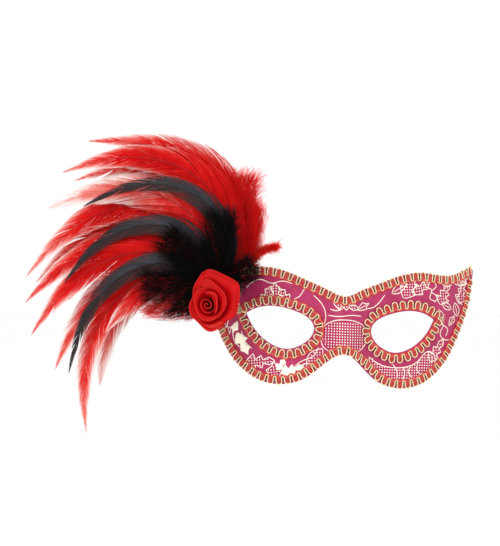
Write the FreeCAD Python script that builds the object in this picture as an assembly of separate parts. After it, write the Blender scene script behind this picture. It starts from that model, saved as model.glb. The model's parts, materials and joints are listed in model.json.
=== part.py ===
import FreeCAD, Part
import math
import os

# A half-face masquerade mask in its worn position, in millimetres.
# +Z is up, the front looks along -Y and the wearer's face is on the +Y side.
# The origin is where the lining rests on the bridge of the nose.

Vector = FreeCAD.Vector
os.makedirs("parts", exist_ok=True)

# ---- Face form -------------------------------------------------------------
WRAP_DEPTH = 78.0          # how far the wings would sweep back at WRAP_HALF_WIDTH
WRAP_HALF_WIDTH = 98.0
NOSE_RISE = 9.0            # how far the nose ridge stands out at bridge height
NOSE_FLARE = 0.19          # extra rise per millimetre further down the nose
NOSE_HALF_WIDTH = 13.0
BROW_CURL = 0.0012         # brow and cheek edges lean back with the square of height

# ---- Layers, as distances in front of the wearer's side --------------------
LINING = (0.0, 0.6)
SHELL = (0.65, 1.85)
FABRIC = (1.9, 2.3)
BRAID = (2.35, 4.05)

# ---- Outlines of the right half, seen from the front, as (x, z) ------------
TOP_EDGE = [(0, 18.6), (9, 21.9), (24.5, 28.4), (34, 32.3), (43, 34.6), (52, 35.2),
            (60, 34.3), (68, 34.0), (75, 35.7), (80.5, 38.3), (85.2, 40.5)]
LOWER_EDGE = [(0, -18.6), (4.5, -19.8), (8, -22.3), (15, -28.8), (22, -34.5), (30, -37.9),
              (39.5, -39.1), (48, -37.7), (55.5, -34.3), (63, -28.3), (69, -21), (75.5, -8.5),
              (80.8, 4), (84.6, 16), (86.6, 27), (87.6, 37)]
EYE_HOLE = [(59.8, 5.4), (56, 7.9), (50, 10.1), (43.5, 10.8), (35, 9.7), (27, 7.2), (20.7, 3.6),
            (17.4, -2), (19.4, -8.6), (24.6, -13.4), (32, -16.4), (39.5, -15.7), (46.5, -12.2),
            (52.5, -7), (56.8, -1), (59.8, 5.4)]
PANEL_SEAMS = (-100, -60, -38, -16, 0, 16, 38, 60, 100)
SHELL_INSET = 0.8          # the braid stands this far past the shell's edge
BRAID_WIDTH = 6.5
EYE_LIP = 0.4              # turned edge of the face fabric left showing at an eye hole

# ---- Elastic anchors -------------------------------------------------------
TAB_X = 78.6
TAB_Z = (2.5, 13.5)
TAB_THICKNESS = 1.2
TAB_FOOT_LENGTH = 13.0
TAB_REAR_Y = 57.0
EYELET_BORE_R = 1.6
EYELET_BARREL_R = 2.0
EYELET_FLANGE_R = 3.2
EYELET_FLANGE_T = 0.35
EYELET_Y = 52.0

# ---- Plume -----------------------------------------------------------------
# The plume fans out in a plane turned back by PLUME_TURN from the front plane.
# Its feathers share one root axis, and each lies on a shallow cone of its own.
PLUME_ROOT = Vector(-80.5, 8.5, 21.0)
PLUME_TURN = 20.0
QUILL_START = 4.4          # quills begin this far from the root axis
QUILL_WIDTH = 1.4
FEATHER_THICKNESS = 0.35
LAYER_PITCH = 0.75         # spacing of the cones at the root axis
FRONT_LEAN = -0.16         # slope of the front cone, negative leans forward
LEAN_STEP = 0.012
CURL_EASE = 1.6            # a feather curls most near its root

# Feathers from front to back: name, start angle, bend, length, width.
# Angles are in degrees in the plume plane, from +X, turning towards +Z.
FEATHERS = [
    ("black_hackle_1", 63, 22, 49, 6),
    ("black_hackle_2", 54, 50, 51, 6),
    ("black_feather_3", 137, 125, 132, 15),
    ("black_feather_2", 95, 141, 128, 16),
    ("black_feather_1", 58, 152, 138, 16),
    ("red_feather_13", 132, 107, 142, 17),
    ("red_feather_17", 159, 77, 80, 14),
    ("red_feather_11", 124, 104, 143, 17),
    ("red_feather_15", 152, 128, 157, 16),
    ("red_feather_07", 88, 116, 146, 21),
    ("red_feather_04", 61, 140, 166, 19),
    ("red_feather_09", 94, 139, 168, 19),
    ("red_feather_02", 61, 122, 155, 17),
    ("red_feather_14", 144, 106, 140, 18),
    ("red_feather_12", 127, 109, 144, 17),
    ("red_feather_06", 85, 109, 135, 20),
    ("red_feather_16", 149, 118, 124, 18),
    ("red_feather_10", 108, 120, 153, 19),
    ("red_feather_05", 66, 134, 156, 18),
    ("red_feather_08", 87, 123, 142, 20),
    ("red_feather_03", 58, 129, 151, 19),
    ("red_feather_01", 53, 125, 149, 18),
    ("red_feather_18", 123, 141, 137, 18),
]

# Marabou puffs: name, start angle, bend, length, width, start radius, setback.
MARABOU_THICKNESS = 3.4
FRONT_PUFFS = [
    ("black_marabou_1", 24, 10, 22, 15, 12, 0),
    ("black_marabou_2", 80, 8, 40, 20, 12, 0),
    ("black_marabou_3", 132, 8, 36, 18, 12, 0),
    ("black_marabou_4", 181, 5, 34, 18, 14, 0),
    ("black_marabou_5", 224, 5, 22, 15, 17, 0),
]
BACK_PUFFS = [
    ("red_marabou_1", 60, 6, 38, 18, 22, 0),
    ("red_marabou_2", 47, -40, 14, 8, 29, 0),
    ("red_marabou_3", 204, 10, 44, 24, 18, 0),
    ("red_marabou_4", 84, 8, 58, 24, 22, 3.8),
]
FRONT_PUFF_H = -3.6
BACK_PUFF_GAP = 3.4

# ---- Binding, pad and ribbon rose ------------------------------------------
CORE_R = 3.6
PAD_R = 12.0
ROSE_OFFSET = (5.8, -8.5)  # of the rose's axis from the root axis, in the plume plane
ROSE_BASE_R = 11.0
ROSE_BASE_T = 1.2
ROSE_DEPTH = 11.5
ROSE_HALF_WIDTH = 14.8
ROSE_HALF_HEIGHT = 17.6
ROSE_WALL = 1.1
BUD_R = 6.5
BUD_NECK_R = 4.6


def face_depth(x, z):
    wrap = WRAP_DEPTH * (1 - math.sqrt(1 - (x / WRAP_HALF_WIDTH) ** 2))
    nose = (NOSE_RISE - NOSE_FLARE * z) * math.exp(-((x / NOSE_HALF_WIDTH) ** 2))
    return wrap + NOSE_RISE - nose + BROW_CURL * z * z


def face_slopes(x, z, step=0.05):
    across = (face_depth(x + step, z) - face_depth(x - step, z)) / (2 * step)
    up = (face_depth(x, z + step) - face_depth(x, z - step)) / (2 * step)
    return across, up


def face_point(x, z, rise):
    """The point rise in front of the wearer's side, square to the surface."""
    across, up = face_slopes(x, z)
    outward = Vector(across, -1, up).normalize()
    return Vector(x, face_depth(x, z), z) + outward * rise


def spread(low, high, count):
    return [low + (high - low) * i / (count - 1) for i in range(count)]


def skin(grid):
    surface = Part.BSplineSurface()
    surface.interpolate(grid)
    return surface.toShape()


def solid_between(near, far):
    """A closed solid between two surfaces through matching grids of points."""
    skins = [skin(near), skin(far)]
    walls = [Part.makeRuledSurface(a, b) for a, b in zip(skins[0].Edges, skins[1].Edges)]
    shell = Part.makeShell(skins + walls)
    shell.sewShape()
    solid = Part.makeSolid(shell)
    if solid.Volume < 0:
        solid.reverse()
    return solid


def face_grid(rise):
    """Points of a curved sheet larger than the mask, at one distance in front of the face."""
    return [[face_point(x, z, rise) for z in spread(-46.0, 48.0, 13)]
            for x in spread(-91.0, 91.0, 41)]


def face_layer(levels):
    return solid_between(face_grid(levels[0]), face_grid(levels[1]))


def space_beyond(rise, depth):
    """Everything from one curved sheet onwards along Y, to the rear for a positive depth."""
    return skin(face_grid(rise)).extrude(Vector(0, depth, 0))


# ---- Outlines in the front plane -------------------------------------------
def mirrored(half):
    """A run from the left end to the right end out of its right half."""
    return [(-x, z) for x, z in reversed(half[1:])] + list(half)


def smooth_edge(points):
    curve = Part.BSplineCurve()
    curve.interpolate([Vector(x, 0, z) for x, z in points])
    return curve.toShape()


def sampled(points, count):
    return [(p.x, p.z) for p in smooth_edge(points).discretize(Number=count)]


def tangents(points):
    found = []
    for i in range(len(points)):
        before = points[max(i - 1, 0)]
        after = points[min(i + 1, len(points) - 1)]
        found.append((after[0] - before[0], after[1] - before[1]))
    return found


def shifted(points, distance):
    """The run moved to its right-hand side by a distance measured along the curved face."""
    moved = []
    for (x, z), (tx, tz) in zip(points, tangents(points)):
        across, _ = face_slopes(x, z)
        stretch = math.sqrt(1 + across * across)
        size = math.hypot(tx * stretch, tz)
        moved.append((x + distance * tz / (size * stretch), z - distance * tx * stretch / size))
    return moved


def prism(edges):
    """An outline in the front plane, run through the whole depth of the mask."""
    face = Part.Face(Part.Wire(Part.__sortEdges__(edges)))
    face.translate(Vector(0, -60, 0))
    return face.extrude(Vector(0, 180, 0))


def straight(a, b):
    return Part.makeLine(Vector(a[0], 0, a[1]), Vector(b[0], 0, b[1]))


def strip(outer, inner):
    """The band between two runs that go the same way."""
    return prism([smooth_edge(outer), straight(outer[-1], inner[-1]),
                  smooth_edge(inner), straight(inner[0], outer[0])])


def meeting_point(a, a_dir, b, b_dir):
    """Where the line from a along a_dir crosses the line from b along b_dir."""
    cross = a_dir[0] * b_dir[1] - a_dir[1] * b_dir[0]
    along = ((b[0] - a[0]) * b_dir[1] - (b[1] - a[1]) * b_dir[0]) / cross
    return (a[0] + a_dir[0] * along, a[1] + a_dir[1] * along)


def pointed_loop(loop):
    """The prism of a loop that comes to a point outside its first and last samples."""
    ways = tangents(loop)
    tip = meeting_point(loop[0], ways[0], loop[-1], ways[-1])
    return prism([smooth_edge(loop), straight(loop[-1], tip), straight(tip, loop[0])])


def mirror_x(shape):
    return shape.mirror(Vector(0, 0, 0), Vector(1, 0, 0))


def panelled(shape):
    """The same solid with its large curved faces divided at the panel seams."""
    panels = []
    for low, high in zip(PANEL_SEAMS, PANEL_SEAMS[1:]):
        panel = shape.common(Part.makeBox(high - low, 200, 200, Vector(low, -80, -100)))
        panels.extend(panel.Solids)
    if len(panels) == 1:
        return panels[0]
    return panels[0].fuse(panels[1:])


# ---- Mask ------------------------------------------------------------------
def build_mask():
    top = sampled(mirrored(TOP_EDGE), 41)
    low = sampled(mirrored(LOWER_EDGE), 61)
    eye = sampled(EYE_HOLE, 41)

    shell_top = shifted(top, SHELL_INSET)
    shell_low = shifted(low, -SHELL_INSET)
    outline = prism([smooth_edge(shell_top), straight(shell_top[-1], shell_low[-1]),
                     smooth_edge(shell_low), straight(shell_low[0], shell_top[0])])
    finished = prism([smooth_edge(top), straight(top[-1], low[-1]),
                      smooth_edge(low), straight(low[0], top[0])])
    eye_right = prism([smooth_edge(eye[:-1] + [eye[0]])])
    blank = outline.cut(eye_right).cut(mirror_x(eye_right))

    nodes = {}
    for name, levels in (("lining", LINING), ("mask_shell", SHELL), ("face_fabric", FABRIC)):
        nodes[name] = panelled(face_layer(levels).common(blank))

    braid_plate = face_layer(BRAID)
    top_band = strip(top, shifted(top, BRAID_WIDTH)).common(finished)
    low_band = strip(low, shifted(low, -BRAID_WIDTH)).common(finished).cut(top_band)
    nodes["edge_braid_upper"] = panelled(braid_plate.common(top_band))
    nodes["edge_braid_lower"] = panelled(braid_plate.common(low_band))
    eye_outer = pointed_loop(shifted(eye, BRAID_WIDTH))
    eye_inner = pointed_loop(shifted(eye, EYE_LIP))
    nodes["eye_braid_right"] = panelled(braid_plate.common(eye_outer.cut(eye_inner)))
    nodes["eye_braid_left"] = mirror_x(nodes["eye_braid_right"])
    return nodes, outline


# ---- Elastic anchors -------------------------------------------------------
def build_anchor():
    """The right tab, glued behind the wing and turned back, with its metal eyelet."""
    height = TAB_Z[1] - TAB_Z[0]
    foot_box = Part.makeBox(TAB_FOOT_LENGTH, 80, height,
                            Vector(TAB_X + TAB_THICKNESS - TAB_FOOT_LENGTH, 0, TAB_Z[0]))
    foot = face_layer((-TAB_THICKNESS, -0.03)).common(foot_box)
    leaf = Part.makeBox(TAB_THICKNESS, TAB_REAR_Y, height, Vector(TAB_X, 0, TAB_Z[0]))
    leaf = leaf.cut(space_beyond(-0.03, -120.0))
    leaf = max(leaf.Solids, key=lambda s: s.BoundBox.YMax)
    centre = Vector(TAB_X, EYELET_Y, (TAB_Z[0] + TAB_Z[1]) / 2)
    along = Vector(1, 0, 0)
    hole = Part.makeCylinder(EYELET_BARREL_R + 0.03, 10, centre - along * 5, along)
    tab = foot.fuse(leaf).cut(hole)

    start = centre - along * EYELET_FLANGE_T
    length = TAB_THICKNESS + 2 * EYELET_FLANGE_T
    eyelet = Part.makeCylinder(EYELET_BARREL_R, length, start, along)
    for at in (start, centre + along * TAB_THICKNESS):
        eyelet = eyelet.fuse(Part.makeCylinder(EYELET_FLANGE_R, EYELET_FLANGE_T, at, along))
    bore = Part.makeCylinder(EYELET_BORE_R, length + 2, start - along, along)
    return tab, eyelet.removeSplitter().cut(bore)


# ---- Plume -----------------------------------------------------------------
TURN = math.radians(PLUME_TURN)
PLUME_RIGHT = Vector(math.cos(TURN), -math.sin(TURN), 0)
PLUME_BACK = Vector(math.sin(TURN), math.cos(TURN), 0)


def plume_point(p, q, h):
    """p to the right and q up in the plume plane, h back along the root axis."""
    return PLUME_ROOT + PLUME_RIGHT * p + Vector(0, 0, q) + PLUME_BACK * h


def curled_line(start, bend, length, start_radius, count):
    """Points and headings along a feather's shaft, in the plume plane."""
    angle = math.radians(start)
    p = start_radius * math.cos(angle)
    q = start_radius * math.sin(angle)
    line = []
    for i in range(count + 1):
        t = i / count
        heading = angle + math.radians(bend) * (1 - (1 - t) ** CURL_EASE)
        line.append((t, p, q, heading))
        middle = angle + math.radians(bend) * (1 - (1 - min(t + 0.5 / count, 1)) ** CURL_EASE)
        p += length / count * math.cos(middle)
        q += length / count * math.sin(middle)
    return line


def vane_share(t):
    """Share of the full width: bare quill, swelling vane, then a long taper."""
    swell = min(max((t - 0.04) / 0.3, 0), 1)
    swell = swell * swell * (3 - 2 * swell)
    return swell * (1 - 0.93 * t ** 3.2)


def puff_share(t):
    return math.sin(math.pi * (0.12 + 0.8 * t)) ** 0.7


def blade(line, width_at, rest_h, lean, thickness):
    """A thin blade along a shaft line, lying on the cone with that rest height and lean."""
    grids = []
    for side in (-0.5, 0.5):
        grid = []
        for t, p, q, heading in line:
            half = width_at(t) / 2
            row = []
            for across in (-1, 0, 1):
                pp = p - math.sin(heading) * half * across
                qq = q + math.cos(heading) * half * across
                h = rest_h + lean * math.hypot(pp, qq) + side * thickness
                row.append(plume_point(pp, qq, h))
            grid.append(row)
        grids.append(grid)
    return solid_between(grids[0], grids[1])


def build_feathers():
    nodes = {}
    for layer, (name, start, bend, length, width) in enumerate(FEATHERS):
        line = curled_line(start, bend, length, QUILL_START, 22)
        nodes[name] = blade(line, lambda t: max(width * vane_share(t), QUILL_WIDTH),
                            layer * LAYER_PITCH, FRONT_LEAN + layer * LEAN_STEP,
                            FEATHER_THICKNESS)
    return nodes


def build_puffs():
    nodes = {}
    last = len(FEATHERS) - 1
    back_h = last * LAYER_PITCH + BACK_PUFF_GAP
    back_lean = FRONT_LEAN + last * LEAN_STEP
    for puffs, h, lean in ((FRONT_PUFFS, FRONT_PUFF_H, FRONT_LEAN), (BACK_PUFFS, back_h, back_lean)):
        for name, start, bend, length, width, start_radius, setback in puffs:
            line = curled_line(start, bend, length, start_radius, 10)
            nodes[name] = blade(line, lambda t: width * puff_share(t), h + setback, lean,
                                MARABOU_THICKNESS)
    return nodes


def axis_cylinder(radius, low_h, high_h, p=0.0, q=0.0):
    return Part.makeCylinder(radius, high_h - low_h, plume_point(p, q, low_h), PLUME_BACK)


def rose_wire(share, h):
    """A rounded five-cornered ring of the ribbon rose."""
    points = []
    for i in range(30):
        turn = math.radians(12 * i)
        swell = share * (1 + 0.07 * math.cos(5 * turn - math.radians(90)))
        p = ROSE_OFFSET[0] + ROSE_HALF_WIDTH * swell * math.cos(turn)
        q = ROSE_OFFSET[1] + ROSE_HALF_HEIGHT * swell * math.sin(turn)
        points.append(plume_point(p, q, h))
    curve = Part.BSplineCurve()
    curve.interpolate(points, PeriodicFlag=True)
    return Part.Wire(curve.toShape())


def build_rose(base_h):
    """The rolled bud, the folded ribbon around it and the felt disc that both are sewn to."""
    p, q = ROSE_OFFSET
    front = base_h - ROSE_BASE_T
    rim = front - ROSE_DEPTH
    cup = Part.makeLoft([rose_wire(0.55, front - 0.05), rose_wire(1.0, rim)], True, True)
    hollow_share = 1 - ROSE_WALL / ROSE_HALF_WIDTH
    hollow = Part.makeLoft([rose_wire(0.55 * hollow_share, front - ROSE_WALL),
                            rose_wire(hollow_share + 0.01, rim - 0.1)], True, True)
    bud = Part.makeCone(BUD_NECK_R, BUD_R, ROSE_DEPTH - 0.6,
                        plume_point(p, q, front - ROSE_WALL - 0.1), PLUME_BACK * -1)
    base = axis_cylinder(ROSE_BASE_R, front, base_h, p, q)
    return {"rose_ribbon": cup.cut(hollow), "rose_bud": bud, "rose_base": base}


def build_mounting(mask_nodes, outline):
    """The quill binding on the root axis and the felt pad that glues the plume to the wing."""
    back_h = (len(FEATHERS) - 1) * LAYER_PITCH + FEATHER_THICKNESS + 1.6
    base_h = FRONT_PUFF_H - MARABOU_THICKNESS / 2 - 3.2
    core = axis_cylinder(CORE_R, base_h + 0.03, back_h)
    pad = axis_cylinder(PAD_R, back_h + 0.03, back_h + 40).common(outline)
    pad = pad.cut(space_beyond(FABRIC[1] + 0.03, 120.0))
    for name in ("edge_braid_upper", "edge_braid_lower", "eye_braid_left"):
        pad = pad.cut(mask_nodes[name])
    pad = max(pad.Solids, key=lambda s: s.Volume)
    return {"quill_binding": core, "plume_pad": pad}, base_h


nodes, mask_outline = build_mask()
tab, eyelet = build_anchor()
nodes["anchor_tab_right"] = tab
nodes["anchor_eyelet_right"] = eyelet
nodes["anchor_tab_left"] = mirror_x(tab)
nodes["anchor_eyelet_left"] = mirror_x(eyelet)
mounting, rose_back_h = build_mounting(nodes, mask_outline)
nodes.update(mounting)
nodes.update(build_rose(rose_back_h))
nodes.update(build_feathers())
nodes.update(build_puffs())

for name, shape in nodes.items():
    solids = shape.Solids
    print(name, "solids", len(solids), "valid", shape.isValid(), "volume %.1f mm3" % shape.Volume)
    shape.exportStep("parts/%s.step" % name)
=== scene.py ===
import json
import math

import bpy
import numpy as np
from mathutils import Matrix, Vector, geometry


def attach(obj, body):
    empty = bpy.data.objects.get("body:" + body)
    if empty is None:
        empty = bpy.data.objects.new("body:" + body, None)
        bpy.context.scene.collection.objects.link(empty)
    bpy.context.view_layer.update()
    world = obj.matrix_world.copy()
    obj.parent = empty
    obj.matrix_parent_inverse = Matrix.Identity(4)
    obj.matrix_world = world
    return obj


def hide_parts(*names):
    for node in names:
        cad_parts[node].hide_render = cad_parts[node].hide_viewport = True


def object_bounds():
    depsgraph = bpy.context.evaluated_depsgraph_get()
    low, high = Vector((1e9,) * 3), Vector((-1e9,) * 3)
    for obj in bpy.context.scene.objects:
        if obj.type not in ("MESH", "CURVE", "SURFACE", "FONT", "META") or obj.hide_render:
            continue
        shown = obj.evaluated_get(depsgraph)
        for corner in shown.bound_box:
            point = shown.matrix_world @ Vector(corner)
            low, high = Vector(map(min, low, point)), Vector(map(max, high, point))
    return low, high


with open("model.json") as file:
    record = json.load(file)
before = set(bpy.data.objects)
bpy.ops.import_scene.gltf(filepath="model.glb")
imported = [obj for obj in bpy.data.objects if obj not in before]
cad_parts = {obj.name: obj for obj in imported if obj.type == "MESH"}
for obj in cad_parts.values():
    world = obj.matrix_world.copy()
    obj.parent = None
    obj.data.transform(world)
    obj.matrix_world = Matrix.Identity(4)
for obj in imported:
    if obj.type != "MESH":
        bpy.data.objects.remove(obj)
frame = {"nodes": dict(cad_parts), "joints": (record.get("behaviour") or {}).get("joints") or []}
CAD_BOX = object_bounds()

# Shapes are in millimetres until make_piece turns them into metres. Materials, the stage, the
# ribbon's sizes and every flat size are in metres.
MM = 0.001
MASK = "mask"

# ---- Face form and layers, as in the CAD ------------------------------------
WRAP_DEPTH = 78.0
WRAP_HALF_WIDTH = 98.0
WRAP_FLOOR = 0.02            # keeps the wrap finite past its half width
NOSE_RISE = 9.0
NOSE_FLARE = 0.19
NOSE_HALF_WIDTH = 13.0
BROW_CURL = 0.0012
LINING = (0.0, 0.6)          # a layer's back and front, measured from the wearer's side
FABRIC = (1.9, 2.3)
BRAID_WIDTH = 6.5
SHELL_INSET = 0.8
EYE_LIP = 0.4

TOP_EDGE = [(0, 18.6), (9, 21.9), (24.5, 28.4), (34, 32.3), (43, 34.6), (52, 35.2),
            (60, 34.3), (68, 34.0), (75, 35.7), (80.5, 38.3), (85.2, 40.5)]
LOWER_EDGE = [(0, -18.6), (4.5, -19.8), (8, -22.3), (15, -28.8), (22, -34.5), (30, -37.9),
              (39.5, -39.1), (48, -37.7), (55.5, -34.3), (63, -28.3), (69, -21), (75.5, -8.5),
              (80.8, 4), (84.6, 16), (86.6, 27), (87.6, 37)]
EYE_HOLE = [(59.8, 5.4), (56, 7.9), (50, 10.1), (43.5, 10.8), (35, 9.7), (27, 7.2), (20.7, 3.6),
            (17.4, -2), (19.4, -8.6), (24.6, -13.4), (32, -16.4), (39.5, -15.7), (46.5, -12.2),
            (52.5, -7), (56.8, -1), (59.8, 5.4)]


# ---- Curves and the face surface --------------------------------------------
def unit(vectors):
    """The vectors along the last axis, each at length one."""
    return vectors / np.maximum(np.linalg.norm(vectors, axis=-1, keepdims=True), 1e-9)


def spline(points, count):
    """A natural cubic curve through the points, sampled evenly along its length."""
    p = np.array(points, float)
    step = np.linalg.norm(np.diff(p, axis=0), axis=1)
    at = np.concatenate([[0], np.cumsum(step)])
    n = len(p)
    system = np.eye(n)
    right = np.zeros_like(p)
    for i in range(1, n - 1):
        system[i, i - 1:i + 2] = step[i - 1], 2 * (step[i - 1] + step[i]), step[i]
        right[i] = 6 * ((p[i + 1] - p[i]) / step[i] - (p[i] - p[i - 1]) / step[i - 1])
    second = np.linalg.solve(system, right)
    fine = np.linspace(0, at[-1], count * 8)
    k = np.clip(np.searchsorted(at, fine, side="right") - 1, 0, n - 2)
    h = step[k][:, None]
    a = (at[k + 1] - fine)[:, None]
    b = (fine - at[k])[:, None]
    curve = (second[k] * a ** 3 + second[k + 1] * b ** 3) / (6 * h)
    curve += (p[k] / h - second[k] * h / 6) * a + (p[k + 1] / h - second[k + 1] * h / 6) * b
    return evenly(curve, count)


def arc_lengths(curve):
    return np.concatenate([[0], np.cumsum(np.linalg.norm(np.diff(curve, axis=0), axis=1))])


def evenly(curve, count):
    along = arc_lengths(curve)
    at = np.linspace(0, along[-1], count)
    return np.stack([np.interp(at, along, curve[:, i]) for i in range(curve.shape[1])], 1)


def mirrored(half):
    return [(-x, z) for x, z in reversed(half[1:])] + list(half)


def face_depth(x, z):
    wrap = WRAP_DEPTH * (1 - np.sqrt(np.maximum(1 - (x / WRAP_HALF_WIDTH) ** 2, WRAP_FLOOR)))
    nose = (NOSE_RISE - NOSE_FLARE * z) * np.exp(-((x / NOSE_HALF_WIDTH) ** 2))
    return wrap + NOSE_RISE - nose + BROW_CURL * z * z


def face_slopes(x, z):
    step = 0.05
    across = (face_depth(x + step, z) - face_depth(x - step, z)) / (2 * step)
    up = (face_depth(x, z + step) - face_depth(x, z - step)) / (2 * step)
    return across, up


def face_normal(x, z):
    across, up = face_slopes(x, z)
    return unit(np.stack([across, -np.ones_like(across), up], -1))


def face_point(x, z, rise):
    """Points at x and z on the layer that lies rise in front of the wearer's side."""
    x, z, rise = np.broadcast_arrays(np.asarray(x, float), np.asarray(z, float), np.asarray(rise, float))
    across, up = face_slopes(x, z)
    return np.stack([x, face_depth(x, z) - rise * np.sqrt(1 + across ** 2 + up ** 2), z], -1)


def on_layer(rise, wave=None):
    """A function that puts flat (x, z) points on one layer, with a waviness if given."""
    return lambda p: face_point(p[:, 0], p[:, 1], rise + (wave(p) if wave else 0))


def shift_ways(run):
    """For each point of a run, the (x, z) step that is 1 mm to its right along the curved face."""
    way = np.gradient(run, axis=0)
    across, _ = face_slopes(run[:, 0], run[:, 1])
    stretch = np.sqrt(1 + across ** 2)
    size = np.hypot(way[:, 0] * stretch, way[:, 1])
    return np.stack([way[:, 1] / (size * stretch), -way[:, 0] * stretch / size], 1)


def shifted(run, distance):
    return run + shift_ways(run) * distance


def inside(polygon, points):
    """Which points lie in a closed polygon."""
    a = np.asarray(polygon)
    b = np.roll(a, -1, axis=0)
    found = np.zeros(len(points), bool)
    for (ax, az), (bx, bz) in zip(a, b):
        crosses = (az > points[:, 1]) != (bz > points[:, 1])
        if abs(bz - az) > 1e-12:
            found ^= crosses & (points[:, 0] < (bx - ax) * (points[:, 1] - az) / (bz - az) + ax)
    return found


TOP = spline(mirrored(TOP_EDGE), 161)
LOW = spline(mirrored(LOWER_EDGE), 201)
EYE = spline(EYE_HOLE, 101)
BLANK_TOP = shifted(TOP, SHELL_INSET)
BLANK_LOW = shifted(LOW, -SHELL_INSET)
BLANK = np.concatenate([BLANK_TOP, BLANK_LOW[::-1]])
EYES = [EYE[:-1], EYE[:-1] * (-1, 1)]


# ---- Mesh tools --------------------------------------------------------------
class Mesh:
    """Gathers vertices, faces, material numbers and the tone attribute of one piece."""

    def __init__(self):
        self.points, self.faces, self.kinds, self.tones, self.count = [], [], [], [], 0

    def add(self, points, faces, kind=0, tone=0.0):
        points = np.asarray(points, float).reshape(-1, 3)
        self.points.append(points)
        self.faces.extend([tuple(i + self.count for i in f) for f in faces])
        self.kinds.extend([kind] * len(faces))
        self.tones.append(np.broadcast_to(np.asarray(tone, float).ravel(), (len(points),)))
        self.count += len(points)

    def strips(self, left, right, tone):
        """Many ribbons at once: left and right edges as (ribbon, station, xyz)."""
        n, k = left.shape[:2]
        points = np.stack([left, right], 2)
        base = np.arange(n)[:, None] * (2 * k) + np.arange(k - 1)[None] * 2
        quads = np.stack([base, base + 1, base + 3, base + 2], -1).reshape(-1, 4)
        tones = np.repeat(np.broadcast_to(tone, (n, k))[..., None], 2, 2)
        self.add(points, quads.tolist(), tone=tones)

    def tube(self, line, radius, sides=6, kind=0, tone=0.0):
        """A closed-ended tube along a line of points."""
        line = np.asarray(line, float)
        n = len(line)
        radius = np.broadcast_to(radius, (n,))
        way = unit(np.gradient(line, axis=0))
        side = np.cross(way[0], (0.31, 0.83, 0.47))
        carried = []
        for w in way:
            side = side - w * (side @ w)
            side = side / np.linalg.norm(side)
            carried.append(side)
        side = np.array(carried)
        other = np.cross(way, side)
        turn = (np.arange(sides) * 2 * math.pi / sides)[None, :, None]
        ring = side[:, None] * np.cos(turn) + other[:, None] * np.sin(turn)
        points = line[:, None] + ring * radius[:, None, None]
        i = np.arange(n - 1)[:, None] * sides
        j = np.arange(sides)[None]
        k = (j + 1) % sides
        quads = np.stack([i + j, i + k, i + k + sides, i + j + sides], -1).reshape(-1, 4).tolist()
        caps = [tuple(range(sides))[::-1], tuple((n - 1) * sides + s for s in range(sides))]
        self.add(points, quads + caps, kind, tone)

    def grid(self, points, kind=0, close=False):
        """A sheet through rows of points, joined round in its second direction if it closes."""
        n, k = points.shape[:2]
        last = k if close else k - 1
        quads = [(i * k + j, i * k + (j + 1) % k, (i + 1) * k + (j + 1) % k, (i + 1) * k + j)
                 for i in range(n - 1) for j in range(last)]
        self.add(points, quads, kind)


def make_piece(name, mesh, materials, body=MASK, replaces=(), smooth=True):
    data = bpy.data.meshes.new(name)
    points = np.concatenate(mesh.points) * MM
    data.from_pydata(points.tolist(), [], mesh.faces)
    data.polygons.foreach_set("material_index", np.array(mesh.kinds, np.int32))
    if smooth:
        data.polygons.foreach_set("use_smooth", np.ones(len(data.polygons), bool))
    tone = data.attributes.new("tone", "FLOAT", "POINT")
    tone.data.foreach_set("value", np.concatenate(mesh.tones).astype(np.float32))
    for material in materials:
        data.materials.append(material)
    data.update()
    piece = bpy.data.objects.new(name, data)
    bpy.context.scene.collection.objects.link(piece)
    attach(piece, body)
    if replaces:
        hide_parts(*replaces)
    return piece


ROW_SHARE = 0.87            # rows this share of the spacing apart make even triangles
EDGE_SHARE = 0.55           # no filling point comes nearer to an outline's point than this share


def region(outer, holes, spacing):
    """The points and triangles that fill an outline around its holes."""
    loops = [np.asarray(outer, float)] + [np.asarray(h, float) for h in holes]
    low, high = loops[0].min(0), loops[0].max(0)
    rows = []
    for j, z in enumerate(np.arange(low[1], high[1], spacing * ROW_SHARE)):
        xs = np.arange(low[0] + (j % 2) * spacing / 2, high[0], spacing)
        rows.append(np.stack([xs, np.full(len(xs), z)], 1))
    filling = np.concatenate(rows)
    keep = inside(loops[0], filling)
    for hole in loops[1:]:
        keep &= ~inside(hole, filling)
    filling = filling[keep]
    edge = np.concatenate(loops)
    near = np.array([np.min(np.sum((edge - p) ** 2, 1)) for p in filling]) < (EDGE_SHARE * spacing) ** 2
    filling = filling[~near]
    edges, start = [], 0
    for loop in loops:
        n = len(loop)
        edges += [(start + i, start + (i + 1) % n) for i in range(n)]
        start += n
    points = np.concatenate([edge, filling])
    out = geometry.delaunay_2d_cdt([tuple(p) for p in points], edges, [], 0, 1e-6)
    points = np.array([tuple(p) for p in out[0]])
    tris = np.array(out[2])
    middle = points[tris].mean(1)
    keep = inside(loops[0], middle)
    for hole in loops[1:]:
        keep &= ~inside(hole, middle)
    tris = tris[keep]
    a, b, c = points[tris[:, 0]], points[tris[:, 1]], points[tris[:, 2]]
    turned = (b[:, 0] - a[:, 0]) * (c[:, 1] - a[:, 1]) - (b[:, 1] - a[:, 1]) * (c[:, 0] - a[:, 0]) < 0
    tris[turned] = tris[turned][:, ::-1]
    return points, tris


def rim_of(tris):
    """Directed boundary edges of a set of triangles."""
    edges = {(a, b) for t in tris.tolist() for a, b in ((t[0], t[1]), (t[1], t[2]), (t[2], t[0]))}
    return [(a, b) for a, b in edges if (b, a) not in edges]


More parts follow.
